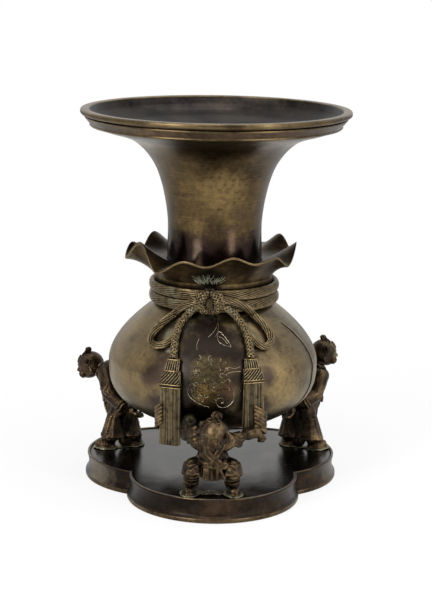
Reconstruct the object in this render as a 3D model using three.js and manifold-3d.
import * as THREE from 'three';
import { mergeVertices } from 'three/addons/utils/BufferGeometryUtils.js';
import Module from 'manifold-3d';

// Bronze vase: a tied sack with a trumpet neck, carried by three boys who stand
// on a three-lobed base. Millimetres, Z up, Z = 0 is the table. Everything is
// laid out round the axis of the turned parts, and the last lines move it to the
// middle of the outline. Front is -Y, and azimuths run from the front towards +X.
const wasm = await Module();
wasm.setup();

// Base: a cast border with a recessed plate let into it.
const lobeRadius = 54.0;
const lobeOffset = 31.9;
const borderHeight = 14.9;
const flangeHeight = 3.2;
const flangeOut = 1.9;
const lipWidth = 1.5;
const lipRise = 0.7;
const plateThick = 2.6;
const borderWall = 3.0;
const ledgeWidth = 3.2;
const ledgeThick = 2.4;
const lobeSteps = 14;

// Sack body: a thin shell, closed below by a dished disc.
const bodyRadius = 66.2;
const bodyWidestZ = 81.6;
const bodyBottomZ = 38.3;
const bottomDiscRadius = 24.0;
const bottomEdgeR = 16.3;
const bodyWall = 2.6;
const throatRadius = 36.6;
const throatZ = 126.2;
const turnedSteps = 32;

// Trumpet neck with a banded rim.
const neckRadius = 29.4;
const neckWaistZ = 167.0;
const neckWall = 2.8;
const sleeveDepth = 22.0;
const rimRadius = 84.1;
const rimTopZ = 240.0;
const rimBandWidth = 6.8;
const rimBandHeight = 3.4;
const grooveHeight = 1.2;
const grooveDepth = 1.0;
const lowerBandHeight = 5.2;
const lowerBandSetback = 2.8;
const lipDrop = 5.4;

// Gathered mouth of the sack. Each fold is an azimuth and the height of the
// edge above the line where the mouth meets the neck; crests and troughs
// alternate, and one trough at the side reaches further out.
const mouthRadius = 51.6;
const mouthNeckZ = 146.0;
const mouthThroatZ = 136.0;
const mouthEdge = 1.6;
const mouthSideReach = 5.0;
const mouthSideAzimuth = -84;
const mouthSteps = 52;
const folds = [
  [-62, 13.2], [-46, -3.4], [-22.5, 5.7], [-8, 3.2], [10.5, 8.9],
  [27.5, 4.2], [45, 6.8], [60, -0.5], [84, 10.4], [104, 1.0],
  [123, 9.6], [140, 1.8], [158, 9.0], [175, 1.2], [193, 8.4],
  [210, 0.6], [228, 9.4], [246, 1.0], [263, 7.6], [277, 0.4],
];

// Cord: two flattened turns round the throat, a knot, a bow and two tails.
const cordRadius = 2.6;
const turnRadial = 4.4;
const turnHeight = 6.9;
const lowerTurnZ = 122.9;
const cordSides = 6;
const knotAzimuth = -5.0;
const knotZ = 128.0;
const knotSize = [15.2, 9.4, 14.4];
const bandWidth = 8.4;
const bandThick = 2.6;
const loopLeft = [
  [-9, 129.5], [-27, 124.5], [-40.5, 116.5], [-46, 108.8],
  [-45, 103.0], [-38.5, 99.4], [-31.5, 100.6], [-26.6, 106.5],
];
const loopRight = [
  [-1, 129.5], [16, 127.4], [28.5, 122.6], [37.8, 115.8],
  [40, 108.9], [37.8, 103.4], [32, 100.1], [26, 101.6], [20.6, 107.5],
];
const tailLeft = [
  [-10, 126.0], [-20, 121.3], [-26, 115.0], [-26.4, 108.4], [-24.8, 102.0],
];
const tailRight = [
  [0, 126.0], [12, 121.6], [18.8, 115.2], [20.3, 109.0], [20.0, 102.6],
];
const tailSteps = 2.5;

// Tassels: a moulded head with a double band, and a fringe of straight strands.
const tasselDepth = 5.0;
const tasselWidth = 13.6;
const strands = 8;
const strandDepth = 0.9;
const tasselLeft = { azimuth: -23.5, topZ: 95.4, headZ: 78.5, endZ: 43.0 };
const tasselRight = { azimuth: 19.0, topZ: 96.2, headZ: 82.6, endZ: 51.0 };

// Boys, in their own frame: [sideways, outwards, up], outwards from the axis, as
// they stand round a sack of the radius and height given above. A foot has no
// height, since it stands on the base.
const headRadius = 8.9;
const shoeSize = [8.6, 12.4, 7.2];
const solderRise = 0.5;
const poses = {
  front: {
    azimuth: -2, head: [1.6, 92.0, 58.4], headTilt: 0.4,
    hips: [0.8, 70.5, 33.0], chest: [0.8, 77.5, 45.0], neck: [1.4, 82.5, 51.5], hipSpread: 3.6,
    legs: [
      { knee: [-12.6, 77.0, 33.5], foot: [-12.2, 70.0], toeTurn: -14 },
      { knee: [13.6, 77.0, 33.5], foot: [13.0, 70.0], toeTurn: 14 },
    ],
    arms: [
      {
        shoulder: [-8.5, 78.5, 48.0], elbow: [-17.5, 66.0, 49.5],
        hand: [-29.5, 57.0, 54.0], palm: [-31.5, 57.5, 60.0],
      },
      {
        shoulder: [10.5, 79.0, 48.5], elbow: [20.0, 74.5, 47.0],
        hand: [29.5, 70.0, 49.5], palm: [28.0, 70.5, 57.0],
      },
    ],
  },
  left: {
    azimuth: -120, head: [3.0, 90.4, 64.6], headTilt: 0.5,
    hips: [7.0, 63.5, 41.0], chest: [2.4, 73.5, 57.0], neck: [2.6, 80.5, 62.5], hipSpread: 3.8,
    legs: [
      { knee: [2.6, 58.5, 32.5], foot: [1.5, 57.0], toeTurn: -75 },
      { knee: [15.4, 66.0, 33.0], foot: [15.0, 68.0], toeTurn: 18 },
    ],
    arms: [
      {
        shoulder: [-6.0, 75.5, 61.5], elbow: [-14.0, 68.0, 51.0],
        hand: [-13.0, 56.5, 45.0], palm: [-11.5, 50.5, 41.6],
      },
      {
        shoulder: [10.5, 75.0, 62.0], elbow: [19.0, 66.5, 52.0],
        hand: [17.0, 55.0, 44.0], palm: [14.0, 48.5, 40.6],
      },
    ],
  },
  right: {
    azimuth: 120, head: [-2.4, 86.6, 74.6], headTilt: 0.2,
    hips: [-7.5, 66.5, 41.0], chest: [-3.4, 76.0, 57.5], neck: [-2.8, 79.5, 65.5], hipSpread: 3.8,
    legs: [
      { knee: [-15.6, 67.0, 33.0], foot: [-15.4, 69.5], toeTurn: -18 },
      { knee: [-2.2, 61.0, 32.5], foot: [-1.6, 60.0], toeTurn: 75 },
    ],
    arms: [
      {
        shoulder: [-11.0, 76.5, 61.0], elbow: [-13.5, 75.0, 47.0],
        hand: [-14.0, 60.5, 44.0], palm: [-12.5, 53.5, 41.8],
      },
      {
        shoulder: [5.0, 77.0, 61.5], elbow: [10.0, 73.5, 48.0],
        hand: [10.0, 60.0, 44.5], palm: [9.5, 53.5, 41.8],
      },
    ],
  },
};

// Clearances: between touching castings, and under the feet. The facet is the
// smallest step kept on the boys.
const gap = 0.3;
const facet = 0.6;

// Derived heights and radii.
const plateTopZ = borderHeight - lipRise;
const plateBottomZ = plateTopZ - plateThick;
const ledgeZ = plateBottomZ - gap;
const soleZ = plateTopZ + gap + solderRise + gap;
const turnPitch = turnHeight + gap;
const shoulderZ = lowerTurnZ - turnHeight / 2 - gap;
const turnCentreR = throatRadius + gap + turnRadial / 2;
const turnOuterR = turnCentreR + turnRadial / 2;
const grooveTopZ = rimTopZ - rimBandHeight;
const lowerBandTopZ = grooveTopZ - grooveHeight;
const lowerBandBottomZ = lowerBandTopZ - lowerBandHeight;
const lowerBandR = rimRadius - lowerBandSetback;
const flareEndR = lowerBandR - 3.0;
const flareEndZ = lowerBandBottomZ - 2.2;
const rimInnerR = rimRadius - rimBandWidth;
const boyWidth = bodyRadius / 66.2;
const boyHeight = bodyWidestZ / 81.6;
const cordHeight = throatZ / 126.2;
const baseReach = (lobeOffset + lobeRadius) / 85.9;
const radians = THREE.MathUtils.degToRad;

function smooth(t) {
  return t * t * (3 - 2 * t);
}

// Outer radius of the sack at a height: full below, drawn in to the throat.
function sackRadius(z) {
  if (z <= bodyWidestZ) {
    const s = (bodyWidestZ - Math.max(z, bodyBottomZ)) / (bodyWidestZ - bodyBottomZ);
    return bottomEdgeR + (bodyRadius - bottomEdgeR) * (1 - s ** 3.2);
  }
  const s = Math.min(1, (z - bodyWidestZ) / (shoulderZ - bodyWidestZ));
  return bodyRadius - (bodyRadius - throatRadius) * s ** 1.75;
}

// Bodies of revolution come from a closed profile of [radius, height] points.
function turned(profile, steps = turnedSteps) {
  const points = profile.map(([r, z]) => new THREE.Vector2(r, z));
  if (points[0].x > 0) points.push(points[0].clone());
  const geometry = new THREE.LatheGeometry(points, steps);
  geometry.rotateX(Math.PI / 2);
  return geometry;
}

// A skin over loops of equal length: the loops close on each other, or the
// first and last are capped with a fan.
function skin(loops, capped) {
  const count = loops[0].length;
  const positions = loops.flat().flatMap((p) => [p.x, p.y, p.z]);
  const index = [];
  const rows = capped ? loops.length - 1 : loops.length;
  for (let i = 0; i < rows; i += 1) {
    const a = i * count;
    const b = ((i + 1) % loops.length) * count;
    for (let j = 0; j < count; j += 1) {
      const k = (j + 1) % count;
      index.push(a + j, a + k, b + k, a + j, b + k, b + j);
    }
  }
  if (capped) {
    for (const [row, flip] of [[0, true], [loops.length - 1, false]]) {
      const centre = positions.length / 3;
      const mid = loops[row].reduce((s, p) => s.add(p), new THREE.Vector3()).divideScalar(count);
      positions.push(mid.x, mid.y, mid.z);
      for (let j = 0; j < count; j += 1) {
        const a = row * count + j;
        const b = row * count + ((j + 1) % count);
        index.push(...(flip ? [centre, b, a] : [centre, a, b]));
      }
    }
  }
  const geometry = new THREE.BufferGeometry();
  geometry.setAttribute('position', new THREE.Float32BufferAttribute(positions, 3));
  geometry.setIndex(index);
  geometry.computeVertexNormals();
  return geometry;
}

// Solids for the boolean cuts and joins.
function solid(geometry) {
  const bare = new THREE.BufferGeometry();
  bare.setAttribute('position', geometry.getAttribute('position'));
  bare.setIndex(geometry.getIndex());
  const merged = mergeVertices(bare, 1e-4);
  const triangles = [];
  const index = merged.getIndex().array;
  for (let i = 0; i < index.length; i += 3) {
    const [a, b, c] = [index[i], index[i + 1], index[i + 2]];
    if (a !== b && b !== c && a !== c) triangles.push(a, b, c);
  }
  return new wasm.Manifold(new wasm.Mesh({
    numProp: 3,
    vertProperties: new Float32Array(merged.getAttribute('position').array),
    triVerts: new Uint32Array(triangles),
  }));
}

function joined(solids) {
  return solids.reduce((all, next) => all.add(next));
}

// A cut can leave a crumb beside the piece: the piece is the largest body.
function toGeometry(manifold) {
  const bodies = manifold.decompose();
  const main = bodies.reduce((best, next) => (next.volume() > best.volume() ? next : best));
  const mesh = main.getMesh();
  const geometry = new THREE.BufferGeometry();
  geometry.setAttribute('position', new THREE.Float32BufferAttribute(mesh.vertProperties, 3));
  geometry.setIndex([...mesh.triVerts]);
  geometry.computeVertexNormals();
  return geometry;
}

// Three-lobed outline: one arc for each lobe, meeting in a cusp between lobes.
function trefoil(radius) {
  const across = lobeOffset / 2;
  const cusp = across + Math.sqrt(radius * radius - 0.75 * lobeOffset * lobeOffset);
  const reach = Math.atan2(cusp * Math.sqrt(0.75), cusp / 2 - lobeOffset);
  const outline = [];
  for (let lobe = 0; lobe < 3; lobe += 1) {
    const turn = radians(120 * lobe);
    for (let i = 0; i < lobeSteps; i += 1) {
      const a = reach * (2 * i / lobeSteps - 1);
      const out = lobeOffset + radius * Math.cos(a);
      const side = radius * Math.sin(a);
      outline.push(new THREE.Vector2(
        out * Math.sin(turn) + side * Math.cos(turn),
        -out * Math.cos(turn) + side * Math.sin(turn),
      ));
    }
  }
  return outline;
}

// Border: flange at the foot, hollow moulding, bright lip, and a ledge inside.
function borderGeometry() {
  const top = lobeRadius - flangeOut + 0.6;
  const waist = lobeRadius - flangeOut;
  const inner = waist - borderWall;
  const rebate = top - lipWidth;
  const profile = [
    [lobeRadius - 0.8, 0], [lobeRadius, 0.9], [lobeRadius, flangeHeight - 1.1],
    [lobeRadius - 0.8, flangeHeight], [waist, flangeHeight + 1.4],
    [waist - 0.3, borderHeight * 0.55], [waist + 0.1, borderHeight * 0.8],
    [top, borderHeight - 0.8], [top - 0.4, borderHeight], [rebate, borderHeight],
    [rebate - 0.1, ledgeZ], [rebate - ledgeWidth, ledgeZ],
    [rebate - ledgeWidth, ledgeZ - ledgeThick], [inner, ledgeZ - ledgeThick - 2.0],
    [inner, 0],
  ];
  const loops = profile.map(([r, z]) => trefoil(r).map((p) => new THREE.Vector3(p.x, p.y, z)));
  return skin(loops, false);
}

// Plate: a flat trefoil that drops into the border's rebate and rests on its ledge.
function plateGeometry() {
  const rebate = lobeRadius - flangeOut + 0.6 - lipWidth - 0.1;
  const shape = new THREE.Shape(trefoil(rebate - gap));
  const geometry = new THREE.ExtrudeGeometry(shape, { depth: plateThick, bevelEnabled: false });
  geometry.translate(0, 0, plateBottomZ);
  return geometry;
}

const discSeatZ = heightAt(bottomDiscRadius);

function heightAt(radius) {
  let low = bodyBottomZ;
  let high = bodyWidestZ;
  for (let i = 0; i < 40; i += 1) {
    const mid = (low + high) / 2;
    if (sackRadius(mid) < radius) low = mid;
    else high = mid;
  }
  return low;
}

// Points of the sack's outside: closer together low down, where it curves most.
function sackOutline(fromZ, toZ, count) {
  const points = [];
  for (let i = 0; i < count; i += 1) {
    const z = fromZ + (bodyWidestZ - fromZ) * (i / count) ** 1.6;
    points.push([sackRadius(z), z]);
  }
  for (let i = 0; i <= count; i += 1) {
    const z = bodyWidestZ + (shoulderZ - bodyWidestZ) * i / count;
    points.push([sackRadius(z), z]);
  }
  points.push([throatRadius, toZ]);
  return points;
}

// A profile moved sideways by a wall's thickness, along its own normals.
function offset(profile, distance) {
  return profile.map(([r, z], i) => {
    const [r0, z0] = profile[Math.max(0, i - 1)];
    const [r1, z1] = profile[Math.min(profile.length - 1, i + 1)];
    const length = Math.hypot(r1 - r0, z1 - z0);
    return [r - distance * (z1 - z0) / length, z + distance * (r1 - r0) / length];
  });
}

function bodyGeometry() {
  const outside = sackOutline(discSeatZ, throatZ - gap, 6);
  const inside = offset(outside, bodyWall);
  inside[0] = [bottomDiscRadius + 0.8, inside[0][1]];
  inside[inside.length - 1][1] = throatZ - gap;
  return turned([...outside, ...inside.reverse()]);
}

// Bottom disc: dished like the sack, with a seat ring that rests inside the shell.
function bottomGeometry() {
  const rim = bottomDiscRadius - gap;
  const outside = [[0, bodyBottomZ - 1.2], [rim * 0.45, bodyBottomZ - 0.7], [rim, discSeatZ]];
  const inside = [
    [rim, discSeatZ + bodyWall], [rim * 0.45, bodyBottomZ + bodyWall], [0, bodyBottomZ + bodyWall - 0.5],
  ];
  return turned([...outside, ...inside]);
}

// Trumpet neck: the flare is a smooth curve through shares of its own rise and
// reach, and the inside is the same curve moved in by the wall.
function neckGeometry() {
  const shares = [
    [0.15, 0.014], [0.3, 0.042], [0.45, 0.085], [0.6, 0.152], [0.72, 0.238],
    [0.82, 0.345], [0.9, 0.475], [0.955, 0.66], [0.985, 0.86], [1, 1],
  ];
  const rise = flareEndZ - neckWaistZ;
  const reach = flareEndR - neckRadius;
  const outside = [[neckRadius + 0.4, mouthNeckZ - sleeveDepth], [neckRadius + 0.4, mouthNeckZ + 4]];
  outside.push([neckRadius, neckWaistZ]);
  for (const [s, q] of shares) outside.push([neckRadius + q * reach, neckWaistZ + s * rise]);
  const inside = offset(outside, neckWall).slice(0, -1);
  inside[0][1] = outside[0][1];
  const rim = [
    [lowerBandR - 0.5, lowerBandBottomZ - 0.4], [lowerBandR, lowerBandBottomZ + 0.6],
    [lowerBandR, lowerBandTopZ], [rimRadius - lowerBandSetback - grooveDepth, lowerBandTopZ + 0.2],
    [rimRadius - lowerBandSetback - grooveDepth, grooveTopZ - 0.1],
    [rimRadius - 0.4, grooveTopZ], [rimRadius, grooveTopZ + 0.6],
    [rimRadius, rimTopZ - 0.5], [rimRadius - 0.5, rimTopZ], [rimInnerR, rimTopZ],
    [rimInnerR - 0.9, rimTopZ - lipDrop],
  ];
  return turned([...outside, ...rim, ...inside.reverse()]);
}

// Height of the gathered edge at an azimuth, eased between crests and troughs.
function foldHeight(azimuth) {
  const first = folds[0][0];
  const a = first + ((azimuth - first) % 360 + 360) % 360;
  for (let i = 0; i < folds.length; i += 1) {
    const [from, low] = folds[i];
    const [to, high] = i + 1 < folds.length ? folds[i + 1] : [first + 360, folds[0][1]];
    if (a >= from && a <= to) return low + (high - low) * smooth((a - from) / (to - from));
  }
  return 0;
}

// Gathered mouth: a collar round the neck that opens into a wavy, thin edge.
function mouthGeometry() {
  const seat = neckRadius + 0.4 + gap;
  const hollow = throatRadius - bodyWall;
  const collar = 5.5;
  const topSteps = [1, 0.86, 0.6, 0.3, 0];
  const underSteps = [0.14, 0.4, 0.7, 1];
  const loops = [];
  for (let i = 0; i < mouthSteps; i += 1) {
    const azimuth = 360 * i / mouthSteps;
    const side = Math.cos(radians(azimuth - mouthSideAzimuth));
    const edgeR = mouthRadius + mouthSideReach * Math.max(0, side) ** 8;
    const height = foldHeight(azimuth);
    const topZ = (r) => mouthNeckZ + (height + mouthEdge) * ((r - seat) / (edgeR - seat)) ** 1.3;
    const section = topSteps.map((u) => {
      const r = seat + (edgeR - seat) * u;
      return [r, u === 0 ? mouthNeckZ : topZ(r)];
    });
    section.push([seat, mouthNeckZ - collar], [hollow, mouthNeckZ - collar - 2.5]);
    section.push([hollow, throatZ], [throatRadius, throatZ]);
    const deep = topZ(throatRadius) - mouthThroatZ - mouthEdge;
    section.push([throatRadius + 0.2, mouthThroatZ]);
    for (const v of underSteps) {
      const r = throatRadius + (edgeR - throatRadius) * v;
      section.push([r, topZ(r) - mouthEdge - deep * (1 - v) ** 2.2]);
    }
    const [sin, cos] = [Math.sin(radians(azimuth)), Math.cos(radians(azimuth))];
    loops.push(section.reverse().map(([r, z]) => new THREE.Vector3(r * sin, -r * cos, z)));
  }
  return skin(loops, false);
}

// One turn of the cord round the throat, flattened where it is pulled tight.
function turnGeometry() {
  const section = [];
  for (let i = 0; i < 6; i += 1) {
    const a = Math.PI * i / 3;
    section.push([turnCentreR + turnRadial / 2 * Math.cos(a),
      turnHeight / 2 * Math.sin(a) / Math.sin(Math.PI / 3)]);
  }
  return turned(section, 36);
}

function atAzimuth(azimuth, radius, z) {
  return new THREE.Vector3(radius * Math.sin(radians(azimuth)), -radius * Math.cos(radians(azimuth)), z);
}

// Distance from the axis to a cord that lies on the sack or over the turns.
function drapeRadius(z) {
  const slope = (sackRadius(z + 0.5) - sackRadius(z - 0.5));
  const onSack = sackRadius(z) + (gap + cordRadius) * Math.hypot(1, slope);
  const onTurns = turnOuterR + gap + cordRadius;
  const lift = THREE.MathUtils.smoothstep(z, lowerTurnZ - turnHeight, lowerTurnZ - turnHeight / 2);
  return Math.max(onSack, onTurns * lift);
}

function cordSolid(route, end, radius = cordRadius, steps = 24) {
  const points = route.map(([azimuth, z]) => {
    return atAzimuth(azimuth, drapeRadius(z * cordHeight), z * cordHeight);
  });
  points.push(...end);
  const path = new THREE.CatmullRomCurve3(points, false, 'centripetal');
  const shape = new THREE.Shape();
  for (let i = 0; i < cordSides; i += 1) {
    const a = 2 * Math.PI * i / cordSides;
    const [x, y] = [radius * Math.cos(a), radius * Math.sin(a)];
    if (i === 0) shape.moveTo(x, y);
    else shape.lineTo(x, y);
  }
  shape.closePath();
  return solid(new THREE.ExtrudeGeometry(shape, { steps, bevelEnabled: false, extrudePath: path }));
}

// A ball or an egg, placed, tilted forward and turned about the upright.
function ball(centre, size, tilt = 0, segments = 7, turn = 0) {
  const geometry = new THREE.SphereGeometry(0.5, segments, Math.max(5, segments - 3));
  geometry.scale(size[0] * boyWidth, size[1] * boyWidth, size[2] * boyWidth);
  geometry.rotateX(tilt);
  geometry.rotateZ(turn);
  geometry.translate(centre[0], centre[1], centre[2]);
  return solid(geometry);
}

// A limb between two points, round at both ends, with its own end radii.
function limb(from, to, fromRadius, toRadius, sides = 6) {
  const [a, b] = [new THREE.Vector3(...from), new THREE.Vector3(...to)];
  const [near, far] = [fromRadius * boyWidth, toRadius * boyWidth];
  const length = a.distanceTo(b);
  const profile = [
    new THREE.Vector2(0, -near), new THREE.Vector2(near * 0.95, -near * 0.35),
    new THREE.Vector2(far * 0.95, length + far * 0.35), new THREE.Vector2(0, length + far),
  ];
  const geometry = new THREE.LatheGeometry(profile, sides);
  const direction = b.clone().sub(a).normalize();
  geometry.applyQuaternion(new THREE.Quaternion().setFromUnitVectors(new THREE.Vector3(0, 1, 0), direction));
  geometry.translate(a.x, a.y, a.z);
  return solid(geometry);
}

// Turns [sideways, outwards, up] into the boy's own model frame, front at -Y,
// and keeps the boys with the sack when its radius or its height changes.
function local([side, out, up]) {
  return [side * boyWidth, -out * boyWidth, up * boyHeight];
}

// The middle of a foot, which keeps its place on its lobe when the base changes.
function planted([side, out]) {
  return [side * baseReach, -out * baseReach, soleZ + 0.29 * shoeSize[2]];
}

// A point moved by [sideways, outwards, up].
function moved([x, y, z], [side, out, up]) {
  return [x + side * boyWidth, y - out * boyWidth, z + up * boyWidth];
}

// A head with its crown knot, forehead lock, side buns, ears and nose.
function headSolids(head, tilt) {
  const wide = 2 * headRadius / boyWidth;
  const turned3 = (v) => {
    const p = new THREE.Vector3(...v).applyAxisAngle(new THREE.Vector3(1, 0, 0), tilt);
    return moved(head, [p.x, -p.y, p.z]);
  };
  const r = wide / 2;
  const parts = [
    ball(head, [wide * 0.95, wide, wide], tilt, 10),
    ball(turned3([0, -r * 0.42, -r * 0.4]), [12.8, 12.0, 10.0], tilt, 6),
    ball(turned3([0, -r - 0.4, -2.4]), [2.6, 2.8, 3.2], 0, 5),
    ball(turned3([0, -1.6, r + 0.9]), [4.8, 4.8, 4.4], tilt, 5),
    ball(turned3([0, -r * 0.74, r * 0.66]), [3.6, 3.4, 3.4], 0, 5),
  ];
  for (const side of [-1, 1]) {
    parts.push(ball(turned3([side * (r - 0.6), 0.4, -1.4]), [2.8, 4.0, 5.0], 0, 5));
    parts.push(ball(turned3([side * (r - 0.6), -0.8, 4.2]), [4.8, 5.0, 5.0], 0, 5));
  }
  return parts;
}

// One leg: full trousers that end in a flared hem, a gathered shin and a boot.
function legSolids(hip, leg) {
  const knee = local(leg.knee);
  const foot = planted(leg.foot);
  const turn = radians(leg.toeTurn);
  const toe = new THREE.Vector3(0, -2.6, -0.2).applyAxisAngle(new THREE.Vector3(0, 0, 1), turn);
  const ankle = moved(foot, [0, -0.8, 3.0]);
  const hem = moved(knee, [0, -0.4, -3.4]);
  return [
    limb(hip, knee, 6.6, 6.0),
    limb(hem, moved(hem, [0, 0, 3.0]), 6.6, 5.6, 7),
    limb(ankle, knee, 4.2, 4.8),
    ball([foot[0] + toe.x, foot[1] + toe.y, foot[2]], shoeSize.map((v) => v / boyWidth), 0, 7, turn),
  ];
}

// One arm: a wide sleeve, its turned cuff, and a hand of a palm and fingers.
function armSolids(chest, arm) {
  const shoulder = local(arm.shoulder);
  const elbow = local(arm.elbow);
  const hand = local(arm.hand);
  const palm = local(arm.palm);
  const parts = [
    limb(chest, shoulder, 6.4, 5.4),
    limb(shoulder, elbow, 5.3, 5.0),
    limb(elbow, hand, 4.7, 4.8),
    ball(hand, [9.6, 9.6, 8.0], 0, 5),
    ball(palm, [5.4, 6.0, 7.4], 0, 5),
  ];
  const reach = new THREE.Vector3(...palm).sub(new THREE.Vector3(...hand));
  const across = new THREE.Vector3(0, -1, 0).cross(reach).normalize();
  for (const spread of [-1, 0, 1]) {
    const root = new THREE.Vector3(...palm).addScaledVector(across, spread * 1.9 * boyWidth);
    const tip = root.clone().addScaledVector(reach, 0.55);
    parts.push(limb(root.toArray(), tip.toArray(), 1.3, 1.1, 4));
  }
  return parts;
}

// One boy: bent under the sack, feet apart, head lifted outwards.
function boySolid(pose) {
  const hips = local(pose.hips);
  const chest = local(pose.chest);
  const neck = local(pose.neck);
  const head = local(pose.head);
  const waist = hips.map((v, i) => v + (chest[i] - v) * 0.42);
  const parts = [
    limb(hips, chest, 7.4, 8.2, 8),
    limb(chest, neck, 7.8, 5.2),
    limb(neck, head, 4.8, 5.0),
    ball(waist, [19.0, 18.0, 4.4], 0, 8),
    ball(moved(waist, [0.4, 9.0, -0.4]), [5.6, 4.0, 4.6], 0, 5),
    limb(moved(waist, [1.2, 9.2, -1.0]), moved(waist, [2.6, 8.6, -8.4]), 1.5, 1.3, 4),
    ...headSolids(head, pose.headTilt),
  ];
  for (const side of [-1, 1]) {
    const collar = moved(neck, [side * 4.2, 1.0, 1.6]);
    parts.push(limb(collar, moved(chest, [side * 1.0, 8.2, -2.0]), 1.6, 1.3, 4));
  }
  pose.legs.forEach((leg, i) => {
    const hip = moved(hips, [(2 * i - 1) * pose.hipSpread, 0, 0]);
    parts.push(...legSolids(hip, leg));
  });
  const skirt = new THREE.CylinderGeometry(7.6, 10.4, 11, 10);
  skirt.rotateX(Math.PI / 2);
  skirt.scale(boyWidth, 0.8 * boyWidth, boyWidth);
  skirt.translate(waist[0], waist[1] - 0.6, waist[2] - 5.6 * boyWidth);
  parts.push(solid(skirt));
  for (const arm of pose.arms) parts.push(...armSolids(chest, arm));
  return joined(parts).simplify(facet);
}

// Space taken by the sack, so that backs and hands end just off its surface.
function sackKeepOut() {
  const outline = offset(sackOutline(discSeatZ, throatZ - gap, 6), -gap);
  const below = outline[0][1] - gap;
  return solid(turned([[0, below], [outline[0][0], below], ...outline, [0, throatZ - gap]]));
}

// Space under the soles, down through the plate.
function soleCut() {
  const geometry = new THREE.BoxGeometry(4 * lobeRadius, 4 * lobeRadius, 2 * soleZ);
  return solid(geometry);
}

// Solder that holds a pair of feet: a thin, uneven pad a little wider than them.
function solderGeometry(pose) {
  const feet = pose.legs.map((leg) => planted(leg.foot));
  const pads = pose.legs.map((leg, i) => {
    const shape = new THREE.Shape();
    const turn = radians(leg.toeTurn);
    const toe = new THREE.Vector2(0, -2.6).rotateAround(new THREE.Vector2(), turn);
    for (let k = 0; k < 14; k += 1) {
      const a = 2 * Math.PI * k / 14;
      const wander = 1 + 0.07 * Math.sin(3 * a + 2 * i) + 0.05 * Math.sin(5 * a + i);
      const rim = new THREE.Vector2(
        (shoeSize[0] / 2 + 1.4) * wander * Math.cos(a),
        (shoeSize[1] / 2 + 1.2) * wander * Math.sin(a),
      ).rotateAround(new THREE.Vector2(), turn);
      rim.add(toe).add(new THREE.Vector2(feet[i][0], feet[i][1]));
      if (k === 0) shape.moveTo(rim.x, rim.y);
      else shape.lineTo(rim.x, rim.y);
    }
    shape.closePath();
    return solid(new THREE.ExtrudeGeometry(shape, { depth: solderRise, bevelEnabled: false }));
  });
  const [a, b] = feet.map((foot) => new THREE.Vector2(foot[0], foot[1]));
  const bridge = new THREE.BoxGeometry(a.distanceTo(b), 5.4 * boyWidth, solderRise);
  bridge.rotateZ(b.clone().sub(a).angle());
  bridge.translate((a.x + b.x) / 2, (a.y + b.y) / 2, solderRise / 2);
  return toGeometry(joined([...pads, solid(bridge)]).translate([0, 0, plateTopZ + gap]));
}

// Tassel head: a flattened bell with two bands at its lower edge.
function tasselHeadGeometry(tassel) {
  const height = tassel.topZ - tassel.headZ;
  const half = tasselWidth / 2;
  const rows = [
    [1, 0.62, 0.62], [0.94, 0.78, 0.8], [0.42, 0.92, 0.92], [0.4, 1, 1],
    [0.24, 1.02, 1.02], [0.22, 0.95, 0.95], [0.2, 1.03, 1.03], [0, 1.05, 1.05],
  ];
  const loops = rows.map(([share, wide, deep]) => {
    const loop = [];
    const z = share * height;
    const inwards = bodyRadius - sackRadius(tassel.headZ + z);
    for (let i = 0; i < 12; i += 1) {
      const a = 2 * Math.PI * (i + 0.5) / 12;
      const x = half * wide * Math.sign(Math.cos(a)) * Math.abs(Math.cos(a)) ** 0.6;
      const y = tasselDepth / 2 * deep * Math.sign(Math.sin(a)) * Math.abs(Math.sin(a)) ** 0.6;
      loop.push(new THREE.Vector3(x, y + inwards, z));
    }
    return loop;
  });
  return skin(loops.reverse(), true);
}

// Fringe: strands side by side over the front and sides, flat behind.
function fringeGeometry(tassel) {
  const length = tassel.headZ - gap - tassel.endZ;
  const half = tasselWidth / 2;
  const rows = [[0, 1.04, 0.94], [0.3, 1.02, 1], [0.7, 0.98, 1], [1, 0.92, 0.92]];
  const loops = rows.map(([share, wide, deep]) => {
    const loop = [];
    const front = -tasselDepth / 2 * deep;
    for (let i = 0; i < strands * 2; i += 1) {
      const t = i / (strands * 2 - 1);
      const crown = Math.sin(Math.PI * t);
      const x = half * wide * (2 * t - 1);
      const groove = i % 2 === 0 ? strandDepth : 0;
      loop.push(new THREE.Vector3(x, front * (0.55 + 0.45 * crown) + groove, share * length));
    }
    loop.push(new THREE.Vector3(half * wide * 0.92, tasselDepth / 2 * deep, share * length));
    loop.push(new THREE.Vector3(-half * wide * 0.92, tasselDepth / 2 * deep, share * length));
    return loop;
  });
  return skin(loops, true);
}

// The fringes hang straight down, clear of the sack at its widest. The heads
// follow the sack's shoulder above them.
const tasselOut = bodyRadius + gap + tasselDepth / 2 * 1.05;

function tasselPlace(mesh, tassel, z) {
  mesh.position.copy(atAzimuth(tassel.azimuth, tasselOut, z));
  mesh.rotation.z = radians(tassel.azimuth);
}

// Colours of the metal, from the worn gold edges to the dark recesses.
function bronze(colour, roughness, metalness = 0.85) {
  return new THREE.MeshStandardMaterial({ color: colour, roughness, metalness });
}

const group = new THREE.Group();

function place(name, geometry, material) {
  const mesh = new THREE.Mesh(geometry, material);
  mesh.name = name;
  group.add(mesh);
  return mesh;
}

place('base_border', borderGeometry(), bronze(0x4a3b2a, 0.38));
place('base_plate', plateGeometry(), bronze(0x3b3a38, 0.42));
place('sack_body', bodyGeometry(), bronze(0x776444, 0.36));
place('sack_bottom', bottomGeometry(), bronze(0x4a3e2e, 0.5));
place('sack_mouth', mouthGeometry(), bronze(0x564630, 0.4));
place('trumpet_neck', neckGeometry(), bronze(0x6b5839, 0.34));

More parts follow.
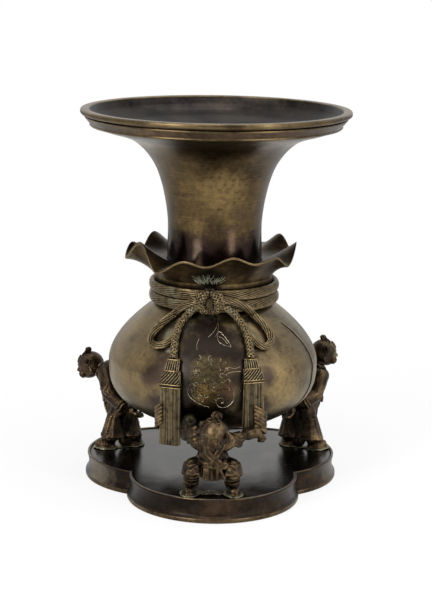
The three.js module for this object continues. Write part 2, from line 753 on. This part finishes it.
const turnSolid = solid(turnGeometry());
const lowerTurn = place('cord_turn_lower', toGeometry(turnSolid), bronze(0x6a5a3e, 0.5));
lowerTurn.position.z = lowerTurnZ;
const upperTurn = place('cord_turn_upper', toGeometry(turnSolid), bronze(0x6a5a3e, 0.5));
upperTurn.position.z = lowerTurnZ + turnPitch;

// Knot: a rounded lump on the turns, cut to clear them and the band over it.
const turnSpace = [lowerTurnZ, lowerTurnZ + turnPitch].map((z) => {
  const wide = turned([
    [turnCentreR - turnRadial, -turnHeight / 2 - gap], [turnOuterR - 0.8, -turnHeight / 2 - gap],
    [turnOuterR + gap, -turnHeight / 4], [turnOuterR + gap, turnHeight / 4],
    [turnOuterR - 0.8, turnHeight / 2 + gap], [turnCentreR - turnRadial, turnHeight / 2 + gap],
  ], 40);
  wide.translate(0, 0, z);
  return solid(wide);
});

// Band: a flat strip over the knot, tucked under the gathered mouth above.
function bandSolid(grow) {
  const topZ = lowerTurnZ + turnPitch + turnHeight / 2;
  const out = turnOuterR + gap + bandThick / 2;
  const route = [
    [throatRadius + 1.3 + bandThick / 2, topZ + 3.6], [out - 1.2, topZ + 1.2], [out + 0.6, topZ - 2.4],
    [out + 5.6, knotZ + 1.5], [out + 5.2, knotZ - 3.5], [out + 0.8, knotZ - 7.6],
  ];
  const path = new THREE.CatmullRomCurve3(route.map(([r, z]) => new THREE.Vector3(0, -r, z)));
  const [w, t] = [bandWidth / 2 + grow, bandThick / 2 + grow];
  const loops = [];
  for (let i = 0; i <= 12; i += 1) {
    const p = path.getPoint(i / 12);
    const along = path.getTangent(i / 12);
    const out3 = new THREE.Vector3(1, 0, 0).cross(along).normalize();
    loops.push([[-w, t * 0.5], [-w * 0.6, t], [w * 0.6, t], [w, t * 0.5], [w, -t * 0.5],
      [w * 0.6, -t], [-w * 0.6, -t], [-w, -t * 0.5]].map(
      ([x, d]) => new THREE.Vector3(x, 0, 0).addScaledVector(out3, d).add(p),
    ));
  }
  return solid(skin(loops, true));
}

function turnedTo(manifold, azimuth) {
  return manifold.rotate([0, 0, azimuth]);
}

const sackSpace = sackKeepOut();
const tailEnds = [tasselLeft, tasselRight].map((tassel) => [tailSteps, 0].map((rise) => {
  const radius = tasselOut - bodyRadius + sackRadius(tassel.topZ);
  return atAzimuth(tassel.azimuth, radius, tassel.topZ + gap + rise);
}));
const tailRoutes = [tailLeft, tailRight];
const tails = tailRoutes.map((route, i) => cordSolid(route, tailEnds[i], cordRadius, 16));
const tailSpace = tailRoutes.map((route, i) => cordSolid(route, tailEnds[i], cordRadius + gap, 16));
const knotCore = ball([0, -(turnOuterR + 2.6), knotZ], knotSize, 0, 12);
const knotSpace = turnedTo(
  ball([0, -(turnOuterR + 2.6), knotZ], knotSize.map((s) => s + 2 * gap), 0, 12),
  knotAzimuth,
);
const band = turnedTo(bandSolid(0), knotAzimuth);
const bandSpace = turnedTo(bandSolid(gap), knotAzimuth);
const knot = turnedTo(knotCore, knotAzimuth)
  .subtract(turnSpace[0]).subtract(turnSpace[1]).subtract(bandSpace);
place('knot', toGeometry(knot), bronze(0x6f5f42, 0.5));
place('knot_band', toGeometry(band), bronze(0x7a6a48, 0.5));

[['left', loopLeft, 0], ['right', loopRight, 1]].forEach(([side, route, i]) => {
  const loop = cordSolid(route, [])
    .subtract(knotSpace).subtract(bandSpace).subtract(tailSpace[i]).subtract(sackSpace);
  place(`bow_loop_${side}`, toGeometry(loop), bronze(0x7a6948, 0.5));
  const tail = tails[i].subtract(knotSpace).subtract(bandSpace).subtract(sackSpace);
  place(`cord_tail_${side}`, toGeometry(tail), bronze(0x7d6c49, 0.5));
});

for (const [side, tassel] of [['left', tasselLeft], ['right', tasselRight]]) {
  const head = place(`tassel_head_${side}`, tasselHeadGeometry(tassel), bronze(0x6f6142, 0.5));
  tasselPlace(head, tassel, tassel.headZ);
  const fringe = place(`tassel_fringe_${side}`, fringeGeometry(tassel), bronze(0x5f5643, 0.6));
  tasselPlace(fringe, tassel, tassel.endZ);
}

// Boys and their solder. The front boy's arms pass round the two fringes.
const fringeSpace = [tasselLeft, tasselRight].map((tassel) => {
  const depth = tasselDepth * 1.05 + 2 * gap;
  const height = tassel.topZ - tassel.endZ + 2 * gap;
  const geometry = new THREE.BoxGeometry(tasselWidth * 1.04 + 2 * gap, depth, height);
  geometry.rotateZ(radians(tassel.azimuth));
  const middle = atAzimuth(tassel.azimuth, tasselOut, (tassel.topZ + tassel.endZ) / 2);
  geometry.translate(middle.x, middle.y, middle.z);
  return solid(geometry);
});
const underfoot = soleCut();
for (const [name, pose] of Object.entries(poses)) {
  let boy = boySolid(pose).subtract(sackSpace).subtract(underfoot);
  if (name === 'front') {
    for (const space of fringeSpace) boy = boy.subtract(turnedTo(space, -pose.azimuth));
  }
  const figure = place(`boy_${name}`, toGeometry(boy.simplify(gap / 2)), bronze(0x55402a, 0.42));
  figure.rotation.z = radians(pose.azimuth);
  const solder = place(`solder_${name}`, solderGeometry(pose), bronze(0x6d6f5c, 0.75, 0.3));
  solder.rotation.z = radians(pose.azimuth);
}

// The origin lies on the table under the middle of the whole outline, so the
// axis of the turned parts stands a little behind it.
const outline = new THREE.Box3().setFromObject(group, true);
const middle = outline.getCenter(new THREE.Vector3());
group.position.set(-middle.x, -middle.y, 0);

export default group;
